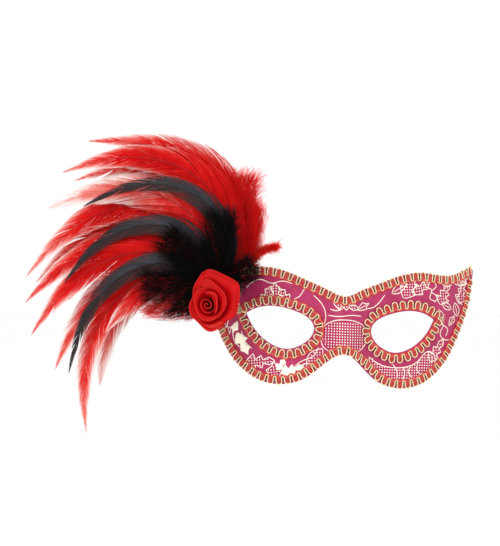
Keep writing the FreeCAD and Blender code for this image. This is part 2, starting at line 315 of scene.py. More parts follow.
def slab(mesh, points, tris, front, back, roll=0.0):
    """A closed sheet: two skins over the same triangles and a rim, rounded outwards by roll."""
    used, tris = np.unique(tris, return_inverse=True)
    tris = tris.reshape(-1, 3)
    points = points[used]
    top, under = front(points), back(points)
    n = len(points)
    rim = rim_of(tris)
    faces = [tuple(t) for t in tris.tolist()] + [tuple(t[::-1] + n) for t in tris]
    outward = np.zeros((n, 2))
    for a, b in rim:
        way = points[b] - points[a]
        way /= max(np.linalg.norm(way), 1e-9)
        for i in (a, b):
            outward[i] += (way[1], -way[0])
    grown = points + unit(outward) * roll
    middle = (front(grown) + back(grown)) / 2
    for a, b in rim:
        faces.append((b, a, 2 * n + a, 2 * n + b))
        faces.append((2 * n + b, 2 * n + a, n + a, n + b))
    keep = sorted({i for e in rim for i in e})
    place = {i: 2 * n + j for j, i in enumerate(keep)}
    faces = [tuple(place[i - 2 * n] if i >= 2 * n else i for i in f) for f in faces]
    mesh.add(np.concatenate([top, under, middle[keep]]), faces)


# ---- Materials ---------------------------------------------------------------
class Shader:
    """A principled material with a few node helpers."""

    def __init__(self, name, rough, **constants):
        self.material = bpy.data.materials.new(name)
        self.material.use_nodes = True
        self.tree = self.material.node_tree
        self.main = self.tree.nodes["Principled BSDF"]
        self.main.inputs["Roughness"].default_value = rough
        for key, value in constants.items():
            self.main.inputs[key.replace("_", " ")].default_value = value
        self.place = self.add("ShaderNodeTexCoord").outputs["Object"]

    def add(self, kind, values=None, **settings):
        node = self.tree.nodes.new(kind)
        for key, value in settings.items():
            setattr(node, key, value)
        for key, value in (values or {}).items():
            if isinstance(value, bpy.types.NodeSocket):
                self.tree.links.new(value, node.inputs[key])
            else:
                node.inputs[key].default_value = value
        return node

    def noise(self, scale, detail, rough=0.5):
        return self.add("ShaderNodeTexNoise", {"Vector": self.place, "Scale": scale, "Detail": detail,
                                               "Roughness": rough}).outputs["Fac"]

    def threads(self, way, pitch):
        """Slightly uneven bands across one of the object's axes, pitch metres apart."""
        scale = math.pi / (10 * pitch)
        return self.add("ShaderNodeTexWave", {"Vector": self.place, "Scale": scale, "Distortion": 0.4,
                                              "Detail": 1.0, "Detail Scale": 0.3},
                        bands_direction=way).outputs["Fac"]

    def tone(self):
        return self.add("ShaderNodeAttribute", attribute_name="tone").outputs["Fac"]

    def math(self, what, a, b):
        return self.add("ShaderNodeMath", {0: a, 1: b}, operation=what).outputs[0]

    def ramp(self, fac, stops):
        node = self.add("ShaderNodeValToRGB", {"Fac": fac})
        ramp = node.color_ramp
        while len(ramp.elements) < len(stops):
            ramp.elements.new(0.5)
        for element, (at, colour) in zip(ramp.elements, stops):
            element.position = at
            element.color = (*colour, 1)
        return node.outputs["Color"]

    def colour(self, socket):
        self.tree.links.new(socket, self.main.inputs["Base Color"])
        return self

    def roughness(self, fac, low, high):
        node = self.add("ShaderNodeMapRange", {"Value": fac, "To Min": low, "To Max": high})
        self.tree.links.new(node.outputs[0], self.main.inputs["Roughness"])
        return self

    def bump(self, height, distance, strength=1.0):
        node = self.add("ShaderNodeBump", {"Height": height, "Distance": distance, "Strength": strength})
        self.tree.links.new(node.outputs[0], self.main.inputs["Normal"])
        return self


def shade(base, factor):
    return tuple(min(c * factor, 1.0) for c in base)


def cloudy(name, rough, noise, stops, bump, wear=None, **constants):
    """A material whose colour, bumps and, if wear is given, roughness follow one noise."""
    s = Shader(name, rough, **constants)
    cloud = s.noise(*noise)
    s.colour(s.ramp(cloud, stops))
    if wear:
        s.roughness(cloud, *wear)
    return s.bump(cloud, *bump).material


def satin(name, base, dark, pitch, rough, sheen_tint, sheen, glint):
    s = Shader(name, rough, Sheen_Weight=sheen, Sheen_Roughness=0.4, Sheen_Tint=(*sheen_tint, 1),
               Specular_IOR_Level=0.5, Specular_Tint=(*glint, 1))
    weave = s.math("MULTIPLY", s.threads("X", pitch), s.threads("Z", pitch * 0.8))
    cloud = s.noise(140.0, 3.0)
    mixed = s.math("ADD", s.math("MULTIPLY", weave, 0.35), s.math("MULTIPLY", cloud, 0.65))
    s.colour(s.ramp(mixed, [(0.15, dark), (0.6, base), (0.95, shade(base, 1.18))]))
    s.roughness(cloud, rough - 0.07, rough + 0.09)
    return s.bump(mixed, 0.00012, 0.5).material


def felt(name, base):
    s = Shader(name, 0.95, Sheen_Weight=0.35, Sheen_Roughness=0.6, Specular_IOR_Level=0.2)
    fibres = s.noise(2600.0, 5.0, 0.7)
    clumps = s.noise(420.0, 3.0)
    mixed = s.math("ADD", s.math("MULTIPLY", fibres, 0.6), s.math("MULTIPLY", clumps, 0.4))
    s.colour(s.ramp(mixed, [(0.25, shade(base, 0.5)), (0.55, base), (0.8, shade(base, 2.1))]))
    return s.bump(mixed, 0.0002, 0.8).material


def lurex(name, base, dark, metal, rough):
    stops = [(0.3, dark), (0.5, base), (0.72, shade(base, 1.35))]
    return cloudy(name, rough, (2400.0, 4.0, 0.65), stops, (0.00008, 0.6), (rough - 0.1, rough + 0.15),
                  Metallic=metal, Specular_IOR_Level=0.6)


def yarn(name, base, dark, light, rough=0.55):
    return cloudy(name, rough, (3000.0, 4.0, 0.6), [(0.3, dark), (0.52, base), (0.75, light)],
                  (0.0001, 0.6), Sheen_Weight=0.3, Sheen_Roughness=0.35)


def feather(name, stops, rough, sheen, sheen_colour, specular, glint=(1, 1, 1)):
    s = Shader(name, rough, Sheen_Weight=sheen, Sheen_Roughness=0.3, Sheen_Tint=(*sheen_colour, 1),
               Specular_IOR_Level=specular, Specular_Tint=(*glint, 1))
    mottle = s.math("MULTIPLY", s.math("SUBTRACT", s.noise(160.0, 3.0), 0.5), 0.35)
    fine = s.math("MULTIPLY", s.math("SUBTRACT", s.noise(1500.0, 2.0), 0.5), 0.25)
    fac = s.math("ADD", s.math("ADD", s.tone(), mottle), fine)
    s.colour(s.ramp(fac, stops))
    s.roughness(s.noise(900.0, 2.0), rough - 0.08, rough + 0.12)
    return s.material


FABRIC_SATIN = satin("magenta_satin", (0.40, 0.024, 0.098), (0.27, 0.010, 0.056), 0.00045, 0.42,
                     (1.0, 0.45, 0.75), 0.12, (1.0, 0.55, 0.8))
ROSE_SATIN = satin("red_ribbon_satin", (0.50, 0.0015, 0.004), (0.33, 0.0008, 0.002), 0.0004, 0.34,
                   (1.0, 0.2, 0.15), 0.05, (1.0, 0.22, 0.16))
LINING_FELT = felt("black_felt", (0.018, 0.018, 0.02))
PAD_FELT = felt("dark_red_felt", (0.05, 0.006, 0.008))
FOIL = lurex("gold_foil", (0.90, 0.82, 0.66), (0.84, 0.75, 0.57), 0.3, 0.36)
GOLD = lurex("gold_lurex", (0.84, 0.71, 0.44), (0.48, 0.35, 0.16), 0.55, 0.34)
RED_YARN = yarn("red_filling", (0.52, 0.010, 0.014), (0.22, 0.002, 0.004), (0.85, 0.22, 0.2))
ORANGE_YARN = yarn("orange_red_scallop", (0.68, 0.035, 0.012), (0.42, 0.01, 0.004), (0.85, 0.30, 0.08))
# Dark brown yarn for the quill binding thread and for the braid's core yarns. In the braid, its darkness
# is painted shade in the gaps between the threads.
DARK_YARN = yarn("dark_yarn_and_gap_shade", (0.10, 0.03, 0.012), (0.03, 0.008, 0.004), (0.25, 0.10, 0.04))
# The deepest red at the lowest stops is painted shade. The tones give it to each feather's foot and to
# the barbs next to its shaft.
RED_FEATHER = feather("red_feather_barbs", [
    (0.0, (0.34, 0.0004, 0.001)), (0.3, (0.55, 0.0008, 0.002)), (0.5, (0.63, 0.022, 0.018)),
    (0.75, (0.72, 0.21, 0.18)), (1.0, (0.84, 0.66, 0.63))], 0.6, 0.04, (1.0, 0.4, 0.35), 0.2,
    (1.0, 0.4, 0.35))
RED_SHAFT = feather("red_feather_shaft", [
    (0.0, (0.20, 0.001, 0.002)), (0.5, (0.38, 0.004, 0.006)), (1.0, (0.66, 0.22, 0.18))],
    0.5, 0.0, (1, 1, 1), 0.2)
# The blue-grey top stops are painted sheen. The low stops are the feathers' own dark brown-red and
# black.
BLACK_FEATHER = feather("black_feather_barbs", [
    (0.0, (0.020, 0.001, 0.001)), (0.35, (0.006, 0.003, 0.004)), (0.65, (0.008, 0.009, 0.013)),
    (1.0, (0.021, 0.027, 0.040))], 0.42, 0.05, (0.6, 0.7, 1.0), 0.3)
RED_DOWN = feather("red_marabou_down", [
    (0.0, (0.66, 0.0008, 0.002)), (0.5, (0.85, 0.010, 0.006)), (1.0, (0.92, 0.20, 0.12))],
    0.8, 0.05, (1.0, 0.4, 0.35), 0.08, (1.0, 0.4, 0.35))
BLACK_DOWN = feather("black_marabou_down", [
    (0.0, (0.0025, 0.0022, 0.0022)), (0.6, (0.006, 0.004, 0.004)), (1.0, (0.022, 0.012, 0.012))],
    0.85, 0.03, (0.5, 0.45, 0.5), 0.06)


def shell_plastic():
    stops = [(0.3, (0.008, 0.008, 0.009)), (0.7, (0.024, 0.023, 0.026))]
    return cloudy("black_shell", 0.5, (900.0, 4.0), stops, (0.00015, 0.5), (0.4, 0.65),
                  Specular_IOR_Level=0.4)


def eyelet_brass():
    stops = [(0.3, (0.38, 0.25, 0.09)), (0.55, (0.70, 0.53, 0.26)), (0.8, (0.84, 0.70, 0.42))]
    return cloudy("eyelet_brass", 0.3, (700.0, 4.0, 0.6), stops, (0.00005, 0.4), (0.2, 0.45),
                  Metallic=1.0)


def glue():
    stops = [(0.3, (0.20, 0.13, 0.07)), (0.7, (0.42, 0.33, 0.2))]
    return cloudy("hot_melt_glue", 0.3, (500.0, 3.0), stops, (0.0003, 0.6),
                  Specular_IOR_Level=0.5, Coat_Weight=0.3)


def build_fabric():
    points, tris = region(BLANK, EYES, 1.5)
    mesh = Mesh()

    def ripple(p):
        return 0.05 * np.sin(p[:, 0] * 0.5 + 0.3 * p[:, 1]) * np.sin(p[:, 1] * 0.37)

    slab(mesh, points, tris, on_layer(FABRIC[1], ripple), on_layer(FABRIC[0], ripple), 0.12)
    return make_piece("printed_fabric", mesh, [FABRIC_SATIN], replaces=["face_fabric"])


def build_turnings():
    """The cloth's turned edge at each eye hole, rolled over the shell's thickness."""
    hem = 0.5
    overlap = 0.05
    mesh = Mesh()
    for eye in (EYES[0], EYES[1][::-1]):
        run = np.concatenate([eye, eye[:1]])
        ways = shift_ways(run)
        rows = []
        for turn in np.linspace(0, math.pi * 0.5, 6):
            at = run - ways * ((hem + overlap) * math.sin(turn) - overlap)
            rows.append(face_point(at[:, 0], at[:, 1], FABRIC[1] - hem * (1 - math.cos(turn))))
        for rise in (1.2, 0.6, 0.1):
            at = run - ways * hem
            rows.append(face_point(at[:, 0], at[:, 1], rise))
        mesh.grid(np.array(rows))
    return make_piece("fabric_turnings", mesh, [FABRIC_SATIN])


def build_lining():
    points, tris = region(BLANK, EYES, 1.8)
    mesh = Mesh()

    def nap(p):
        across = np.sin(p[:, 0] * 2.1 + np.sin(p[:, 1] * 1.3))
        return 0.06 * across * np.sin(p[:, 1] * 1.9 + p[:, 0] * 0.4)

    slab(mesh, points, tris, on_layer(LINING[1]), on_layer(LINING[0], nap), 0.1)
    return make_piece("felt_lining", mesh, [LINING_FELT], replaces=["lining"])


# ---- Foil print -----------------------------------------------------------------
PRINT_RISE = FABRIC[1] + 0.05
FOIL_CROWN = 0.05           # how far the foil's middle stands above the print's level
FOIL_FOOT = 0.03            # how far its edge reaches below that
LINE_WIDTH = 0.5
LINE_STEP = 0.7
DOT_PITCH = 1.65
DOT_RADIUS = 0.44
DOT_SIDES = 8
SHOWN = np.concatenate([shifted(TOP, 3.0), shifted(LOW, -3.0)[::-1]])
EYE_CLEAR = shifted(EYE, 2.5)[:-1]

# Loose curves of the print, as (x, z).
CURVES = [
    [(-60, 21), (-56, 25), (-51, 26.5), (-45, 24.5), (-39, 26), (-32, 24.5)],
    [(-62, 27), (-67, 24), (-66, 18), (-70, 13)],
    [(-22.5, 24), (-25, 21), (-27.5, 17), (-31, 15)],
    [(-19, 18), (-14, 13), (-11.5, 7), (-13, -1), (-17, -4)],
    [(-10, 6), (-3, 5.5), (5, 6.5), (11, 6)],
    [(-9, 10), (-5, 9), (-1, 10.5)],
    [(-76, 17), (-72, 10), (-70, 1), (-73, -8)],
    [(-64, -2), (-67, -8), (-65, -14), (-60, -18)],
    [(-62, -6), (-60, -12), (-55, -17)],
    [(-29, -27), (-24, -23), (-18, -20), (-15, -14)],
    [(-33, -29), (-27, -27.5), (-22, -24.5)],
    [(26, 20), (22.5, 15), (18, 11.5), (14.5, 11)],
    [(22, 25), (26, 26), (30, 24.5)],
    [(32.5, -23), (35.5, -27), (36, -32), (34, -36)],
    [(39.5, -25), (41, -29), (40, -33), (42, -37)],
    [(45, -24), (43.5, -28), (46, -32), (45, -36)],
    [(50, -21), (49, -26), (53, -30), (58, -30)],
    [(62, 12), (66, 8), (65, 3), (69, 0), (68, -5)],
    [(62.5, 5), (66, 2), (64, -3), (67, -7), (72, -7)],
    [(58, 30), (60, 26), (57, 23), (61, 20), (59, 16)],
    [(52, 31), (53, 26), (57, 24), (56, 19), (60, 17)],
    [(76, 37), (74, 31), (78, 26), (76, 19), (80, 15)],
    [(80, 36), (79, 31), (83, 28), (84, 22)],
    [(72, 29), (77, 27.5), (84, 29)],
    [(63, 31), (66, 27), (70, 27), (72, 31)],
]
# Leaves: middle, length, width, angle, spikes on each side, filling.
LEAVES = [
    ((-47, 17), 12, 8, 70, 2, "dots"), ((-42, 18), 14, 8, 98, 2, "dots"),
    ((-37, 17), 11, 7, 125, 2, "dots"),
    ((-70, 20), 13, 8, 60, 2, "dots"), ((-75, 27), 11, 6, 20, 1, "open"),
    ((-66, 9), 11, 6, 80, 1, "solid"), ((-72, -4), 13, 7, 105, 2, "dots"),
    ((-61, -14), 16, 9, -62, 2, "solid"), ((-66, -4), 9, 5, -110, 1, "solid"),
    ((-50, -25), 18, 11, 8, 3, "dots"), ((-41, -31), 14, 10, 95, 1, "dots"),
    ((-30, -29), 15, 10, 20, 3, "solid"), ((-37, -26), 9, 6, 60, 2, "solid"),
    ((-17, -21), 15, 8, 55, 0, "dots"), ((-22, -27), 9, 4.5, 15, 0, "open"),
    ((1, 12.5), 17, 8, -14, 3, "dots"), ((12, 12), 9, 5, 30, 1, "open"),
    ((43, 27), 20, 12, 62, 3, "dots"), ((50, 25), 14, 8, 35, 2, "dots"),
    ((35, 24), 11, 5, 35, 0, "open"), ((66, 22), 15, 10, 68, 3, "dots"),
    ((79, 24), 17, 9, 78, 3, "dots"), ((81, 32), 10, 6, 50, 2, "dots"),
    ((68, 14), 7.5, 4, 150, 0, "open"), ((75, 12), 9, 4.2, 105, 0, "open"),
    ((72, 5), 8, 4, 60, 1, "open"),
    ((62, -14), 17, 9, 58, 3, "dots"),
]
# Dotted fields between the braids, each inside a drawn border.
FIELDS = [
    [(-14, -8), (-12, -1), (-7, 2.5), (0, 3.5), (8, 2.5), (13.5, -1), (15, -8), (12, -14),
     (6, -17), (-6, -17), (-12, -14)],
    [(17, -19), (22, -22.5), (29, -25), (36, -25.5), (43, -24.5), (50, -20.5), (56, -15),
     (61, -18), (59, -26), (52, -32), (44, -35), (35, -35), (26, -31.5), (19, -26)],
]


def is_shown(points):
    keep = inside(SHOWN, points)
    for clear in (EYE_CLEAR, EYE_CLEAR * (-1, 1)):
        keep &= ~inside(clear, points)
    return keep


def fine_line(points, step=LINE_STEP):
    """Points along straight legs, keeping every corner."""
    parts = []
    for a, b in zip(points, points[1:]):
        a, b = np.array(a, float), np.array(b, float)
        count = max(int(np.linalg.norm(b - a) / step), 1)
        parts.append(a + (b - a) * np.arange(count)[:, None] / count)
    return np.concatenate(parts + [np.array([points[-1]], float)])


def foil_stroke(mesh, line, width=LINE_WIDTH):
    """A slightly domed strip of foil along the shown stretches of a line."""
    shown = is_shown(line)
    breaks = np.flatnonzero(np.diff(shown.astype(int))) + 1
    for part in np.split(np.arange(len(line)), breaks):
        if len(part) < 3 or not shown[part[0]]:
            continue
        x, z = line[part, 0], line[part, 1]
        middle = face_point(x, z, PRINT_RISE + FOIL_CROWN)
        way = np.gradient(middle, axis=0)
        side = unit(np.cross(face_normal(x, z), way))
        from_end = np.minimum(np.arange(len(part)), np.arange(len(part))[::-1])
        ease = np.minimum(1, from_end / 2 + 0.35)
        spread = side * (width / 2 * ease)[:, None]
        low = face_normal(x, z) * 0.07
        rows = np.stack([middle - spread - low, middle - spread * 0.8, middle,
                         middle + spread * 0.8, middle + spread - low], 1)
        mesh.grid(rows)


def foil_dots(mesh, outline, angle=0.0):
    """Square-set dots of foil inside an outline."""
    low, high = outline.min(0), outline.max(0)
    reach = np.arange(-30, 31) * DOT_PITCH
    a, b = np.meshgrid(reach, reach)
    cosine, sine = math.cos(angle), math.sin(angle)
    centre = (low + high) / 2
    spots = np.stack([centre[0] + a * cosine - b * sine, centre[1] + a * sine + b * cosine], -1)
    spots = spots.reshape(-1, 2)
    spots = spots[inside(outline, spots) & is_shown(spots)]
    if not len(spots):
        return
    turn = np.arange(DOT_SIDES) * math.pi / 4 + 0.39
    across, _ = face_slopes(spots[:, 0], spots[:, 1])
    narrow = 1 / np.sqrt(1 + across ** 2)
    ring_x = spots[:, :1] + DOT_RADIUS * np.cos(turn) * narrow[:, None]
    ring_z = spots[:, 1:] + DOT_RADIUS * np.sin(turn)
    foot = face_point(ring_x, ring_z, PRINT_RISE - FOIL_FOOT)
    brow = face_point(spots[:, :1] + (ring_x - spots[:, :1]) * 0.75,
                      spots[:, 1:] + (ring_z - spots[:, 1:]) * 0.75, PRINT_RISE + 0.04)
    n = DOT_SIDES
    faces = [(i, (i + 1) % n, n + (i + 1) % n, n + i) for i in range(n)] + [tuple(range(n, 2 * n))]
    for low_ring, high_ring in zip(foot, brow):
        mesh.add(np.concatenate([low_ring, high_ring]), faces)


def leaf_outline(middle, length, width, angle, spikes):
    """A pointed leaf, smooth or with saw-toothed sides."""
    half = []
    if spikes == 0:
        for t in np.linspace(0, 1, 13):
            half.append((t, math.sin(math.pi * t) ** 0.9))
    else:
        whole = spikes + 0.9
        half.append((0.0, 0.0))
        for i in range(spikes):
            swell = 1.0 - 0.28 * i
            half += [((i + 0.35) / whole, 0.42 * swell), ((i + 1.15) / whole, swell)]
        half.append(((spikes + 0.45) / whole, 0.3))
        half.append((1.0, 0.0))
    outline = half + [(t, -w) for t, w in reversed(half[1:-1])]
    a = math.radians(angle)
    points = []
    for t, w in outline:
        along, side = (t - 0.5) * length, w * width / 2
        points.append((middle[0] + along * math.cos(a) - side * math.sin(a),
                       middle[1] + along * math.sin(a) + side * math.cos(a)))
    return np.array(points)


def build_print():
    mesh = Mesh()
    for curve in CURVES:
        length = arc_lengths(np.array(curve, float))[-1]
        foil_stroke(mesh, spline(curve, int(length / LINE_STEP)))
    for middle, length, width, angle, spikes, filling in LEAVES:
        outline = leaf_outline(middle, length, width, angle, spikes)
        closed = [tuple(p) for p in outline] + [tuple(outline[0])]
        if filling == "solid":
            points, tris = region(fine_line(closed, 0.9)[:-1], [], 1.0)
            seen = is_shown(points)
            tris = tris[seen[tris].all(1)]
            if len(tris):
                slab(mesh, points, tris, on_layer(PRINT_RISE + FOIL_CROWN),
                     on_layer(PRINT_RISE - FOIL_FOOT))
            continue
        foil_stroke(mesh, fine_line(closed))
        if filling == "dots":
            foil_dots(mesh, (outline - middle) * 0.88 + middle, angle=math.radians(angle % 12))
        else:
            heart = np.array(middle)
            stem = [outline[0] * 0.75 + heart * 0.25, outline[len(outline) // 2] * 0.6 + heart * 0.4]
            foil_stroke(mesh, fine_line(stem), 0.42)
    for field in FIELDS:
        outline = spline(field + field[:1], 120)
        foil_stroke(mesh, outline)
        middle = outline.mean(0)
        foil_dots(mesh, (outline - middle) * 0.93 + middle)
    return make_piece("foil_print", mesh, [FOIL])


# ---- Gimp braid ------------------------------------------------------------------
BRAID_PITCH = 5.4
CORD_RADIUS = 0.24
SCALLOP_RADIUS = 0.24
EDGING_RADIUS = 0.13
CORE_RADIUS = 0.42
YARN_RADIUS = 0.27
YARN_PITCH = 0.56
BUNDLE = 5                  # red yarns side by side in one bundle
PLY_STEP = 0.36
EYE_TUCK = 0.45             # how far the eye braid is drawn in towards its hole
LOWER_TRIM = 5.5            # what the lower braid leaves free at each wing tip
FRAY_THREADS = 16
FRAY_RADIUS = 0.085
# One repeat of the gold cord, from the middle of a bundle: along, across, height.
CORD_REPEAT = [(-2.35, -2.15, 0.35), (-1.85, -1.5, 0.75), (-1.8, 0.0, 1.15), (-1.72, 1.15, 1.1),
               (-1.15, 2.35, 0.85), (0.0, 2.85, 0.7), (1.15, 2.35, 0.85), (1.72, 1.15, 1.1),
               (1.8, 0.0, 1.15), (1.85, -1.5, 0.75), (2.35, -2.15, 0.35)]


class Run:
    """A braid's middle line on the face: u along it and v across it, towards its domed edge."""

    def __init__(self, line, dome_side):
        self.line = line
        self.way = shift_ways(line) * dome_side
        self.at = arc_lengths(face_point(line[:, 0], line[:, 1], FABRIC[1]))
        self.length = self.at[-1]

    def place(self, u, v, w):
        x = np.interp(u, self.at, self.line[:, 0]) + v * np.interp(u, self.at, self.way[:, 0])
        z = np.interp(u, self.at, self.line[:, 1]) + v * np.interp(u, self.at, self.way[:, 1])
        return face_point(x, z, FABRIC[1] + w)


def two_ply(mesh, line, radius, lay=1.5):
    """Two strands twisted round each other along a line."""
    line = evenly(line, max(int(arc_lengths(line)[-1] / PLY_STEP), 4))
    way = unit(np.gradient(line, axis=0))
    side = unit(np.cross(way, (0.3, -0.9, 0.2)))
    other = np.cross(way, side)
    turn = (arc_lengths(line) / lay * 2 * math.pi)[:, None]
    offset = (side * np.cos(turn) + other * np.sin(turn)) * radius * 0.95
    mesh.tube(line + offset, radius, 5)
    mesh.tube(line - offset, radius, 5)


def build_braid(name, run, trim=(0.0, 0.0)):
    """Core yarns, whose dark colour is painted shade in the gaps between the threads, red bundles, the
    gold cord that loops round them and the scalloped yarn.
    """
    first, last = trim[0], run.length - trim[1]
    repeats = max(int(round((last - first) / BRAID_PITCH)), 1)
    pitch = (last - first) / repeats
    stretch = pitch / BRAID_PITCH
    gold, red, orange = Mesh(), Mesh(), Mesh()
    local = np.random.default_rng(len(name) * 31 + repeats)
    cord = []
    for i in range(repeats):
        middle = first + (i + 0.5) * pitch
        lean, size = local.normal(0, 0.12), local.normal(1.0, 0.05)
        for u, v, w in CORD_REPEAT:
            cord.append((middle + u * stretch + lean * v * 0.3, v * size, w))
        for j in range(BUNDLE):
            place = j - BUNDLE // 2
            off = place * YARN_PITCH
            reach = 2.35 * math.sqrt(1 - (off / 1.75) ** 2) * size
            v = np.linspace(-1.95, reach, 7)
            arch = np.sin(np.linspace(0.15, 0.93, 7) * math.pi) ** 0.7
            w = 0.32 + (0.78 - 0.10 * abs(place)) * arch + local.normal(0, 0.04)
            u = middle + off * stretch + lean * v * 0.3 + local.normal(0, 0.03)
            red.tube(run.place(u, v, w), YARN_RADIUS, 6, tone=0.5)
    cord = np.array(cord)
    smooth = spline(cord, len(cord) * 4)
    two_ply(gold, run.place(smooth[:, 0], smooth[:, 1], smooth[:, 2]), CORD_RADIUS)
    u = np.arange(first, last, 0.35)
    swing = np.abs(np.cos(math.pi * (u - first) / pitch)) ** 0.8
    lift = 0.42 + 0.5 * (1 - swing) ** 2
    two_ply(orange, run.place(u, -1.70 - 1.05 * swing, lift), SCALLOP_RADIUS, 1.3)
    two_ply(gold, run.place(u, -1.15 - 0.95 * swing, lift + 0.12), EDGING_RADIUS, 1.1)
    # Two core yarns run under the bundles along the braid. Their dark colour is painted shade in the
    # braid's gaps.
    coarse = np.arange(first, last, 1.0)
    for v in (-1.2, 0.9):
        red.tube(run.place(coarse, v, CORE_RADIUS), CORE_RADIUS, 6, kind=1)
    make_piece(name + "_cord", gold, [GOLD], replaces=[name])
    make_piece(name + "_filling", red, [RED_YARN, DARK_YARN])
    make_piece(name + "_scallops", orange, [ORANGE_YARN])


def build_frays(name, corner, way, seed):
    """Loose gold threads where a braid's cut ends meet."""
    local = np.random.default_rng(seed)
    mesh = Mesh()
    for _ in range(FRAY_THREADS):
        turn = math.atan2(way[1], way[0]) + local.normal(0, 0.75)
        size = local.uniform(1.6, 4.2)
        s = np.linspace(0, 1, 7)
        x = corner[0] + size * s * math.cos(turn) + local.normal(0, 0.5) * s ** 2
        z = corner[1] + size * s * math.sin(turn) + local.normal(0, 0.9) * s ** 2
        rise = FABRIC[1] + 0.35 + local.uniform(0.1, 0.9) * np.sin(s * 2.2)
        mesh.tube(face_point(x, z, rise), FRAY_RADIUS, 5)
    make_piece(name, mesh, [GOLD])


def eye_line():
    """The middle line of the right eye's braid, run on to the point where its ends meet."""
    loop = shifted(EYE, EYE_LIP + BRAID_WIDTH / 2 - EYE_TUCK)
    head, tail = loop[0] - loop[3], loop[-1] - loop[-4]
    cross = head[0] * tail[1] - head[1] * tail[0]
    gap = loop[-1] - loop[0]
    along = (gap[0] * tail[1] - gap[1] * tail[0]) / cross
    tip = loop[0] + head * along
    first = tip + (loop[0] - tip) * np.linspace(0.1, 0.9, 6)[:, None]
    last = tip + (loop[-1] - tip) * np.linspace(0.9, 0.1, 6)[:, None]
    return evenly(np.concatenate([first, loop, last]), 121)


def build_braids():
    top = shifted(TOP, BRAID_WIDTH / 2)
    low = shifted(LOW, -BRAID_WIDTH / 2)
    # Beside the nose the braid is sewn a little further in and leaves a strip of cloth.
    slip = 1.5 * np.exp(-((LOW[:, 0] - 14) / 8) ** 2) + 0.5 * np.exp(-((LOW[:, 0] + 14) / 9) ** 2)
    low = low - shift_ways(LOW) * slip[:, None]
    eye = eye_line()
    build_braid("edge_braid_upper", Run(top, -1))
    build_braid("edge_braid_lower", Run(low, 1), (LOWER_TRIM, LOWER_TRIM))
    build_braid("eye_braid_right", Run(eye, 1))
    build_braid("eye_braid_left", Run(eye * (-1, 1), 1))
    for name, side in (("eye_frays_right", 1), ("eye_frays_left", -1)):
        build_frays(name, eye[0] * (side, 1), (side, -0.25), 60 + side)
    build_frays("wing_tip_frays", top[-1] + (-0.5, 0.3), (0.4, 1.0), 63)


# ---- Plume -------------------------------------------------------------------------
JOINT = frame["joints"][0]
AXIS = np.array(JOINT["axis"], float)
ROOT = np.array(JOINT["pos_m"], float) / MM
RIGHT = np.array([AXIS[1], -AXIS[0], 0.0])
UP = np.array([0.0, 0.0, 1.0])
QUILL_START = 4.4
LAYER_PITCH = 0.75
FRONT_LEAN = -0.16
LEAN_STEP = 0.012
CURL_EASE = 1.6
SHAFT_STEPS = 240

# Feathers from front to back: name, start angle, bend, length, width, paleness.
FEATHERS = [
    ("black_hackle_1", 63, 22, 49, 6, 0), ("black_hackle_2", 54, 50, 51, 6, 0),
    ("black_feather_3", 137, 125, 132, 15, 0), ("black_feather_2", 95, 141, 128, 16, 0),
    ("black_feather_1", 58, 152, 138, 16, 0), ("red_feather_13", 132, 107, 142, 17, 0.0),
    ("red_feather_17", 159, 77, 80, 14, 0.05), ("red_feather_11", 124, 104, 143, 17, 0.0),
    ("red_feather_15", 152, 128, 157, 16, 0.16), ("red_feather_07", 88, 116, 146, 21, 0.42),
    ("red_feather_04", 61, 140, 166, 19, 0.0), ("red_feather_09", 94, 139, 168, 19, 0.06),
    ("red_feather_02", 61, 122, 155, 17, 0.0), ("red_feather_14", 144, 106, 140, 18, 0.14),
    ("red_feather_12", 127, 109, 144, 17, 0.05), ("red_feather_06", 85, 109, 135, 20, 0.2),
    ("red_feather_16", 149, 118, 124, 18, 0.4), ("red_feather_10", 108, 120, 153, 19, 0.12),
    ("red_feather_05", 66, 134, 156, 18, 0.08), ("red_feather_08", 87, 123, 142, 20, 0.28),
    ("red_feather_03", 58, 129, 151, 19, 0.0), ("red_feather_01", 53, 125, 149, 18, 0.04),
    ("red_feather_18", 123, 141, 137, 18, 0.45),
]
# Marabou puffs: name, start angle, bend, length, width, start radius, setback.
FRONT_PUFFS = [
    ("black_marabou_1", 24, 10, 22, 15, 12, 0), ("black_marabou_2", 80, 8, 40, 20, 12, 0),
    ("black_marabou_3", 132, 8, 36, 18, 12, 0), ("black_marabou_4", 181, 5, 34, 18, 14, 0),
    ("black_marabou_5", 224, 5, 22, 15, 17, 0),
]
BACK_PUFFS = [
    ("red_marabou_1", 60, 6, 38, 18, 22, 0), ("red_marabou_2", 47, -40, 14, 8, 29, 0),
    ("red_marabou_3", 204, 10, 44, 24, 18, 0), ("red_marabou_4", 84, 8, 58, 24, 22, 3.8),
]
FRONT_PUFF_H = -3.6
BACK_PUFF_GAP = 3.4
FLUFF_EDGE = 22.0           # about how far right of the root the EDGED_PUFFS reach
FLUFF_FLOOR = -21.0         # about how far below the root any down reaches
EDGED_PUFFS = ("red_marabou_1", "red_marabou_4")
STATIONS = np.array([0.0, 0.16, 0.36, 0.58, 0.8, 1.0])
FOOT_DOWN = 70              # downy barbs at the foot of each feather
SMALL_TUFT = 10.0           # a puff narrower than this is combed to a point
BARBULES = 17
BARB_STEPS = 6


def plume_point(p, q, h):
    """p to the right and q up in the plume plane, h back along the root axis."""
    return ROOT + p[..., None] * RIGHT + q[..., None] * UP + h[..., None] * AXIS


